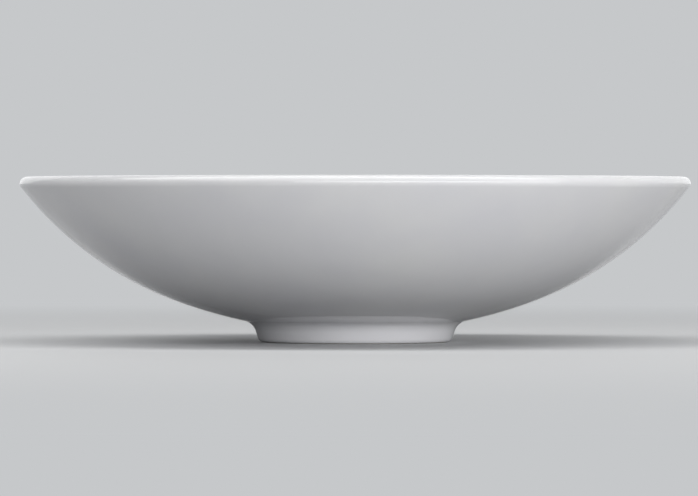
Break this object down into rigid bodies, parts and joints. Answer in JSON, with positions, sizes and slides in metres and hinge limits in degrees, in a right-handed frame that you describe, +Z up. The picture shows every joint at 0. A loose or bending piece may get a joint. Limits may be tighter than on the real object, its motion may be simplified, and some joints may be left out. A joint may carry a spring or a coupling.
{
  "type": "salad bowl",
  "caption": "Wide, shallow round serving bowl in white glazed porcelain, with a curved wall, a rounded lip and a short foot ring that is bare where it stands.",
  "frame": {"origin": "middle of the foot ring's standing face, at table level", "axes": "+Z up along the bowl's axis of revolution; X and Y lie in the table plane and are alike"},
  "size_m": [0.28, 0.28, 0.069],
  "materials": {
    "glaze": "fired gloss",
    "biscuit": "unglazed, fine grained and matt",
    "slip": "fired slip, matt"
  },
  "bodies": {
    "root": {"bowl_body": "biscuit", "foot_ring": "biscuit", "luting_slip": "slip", "main_glaze": "glaze", "well_glaze": "glaze"}
  },
  "joints": []
}
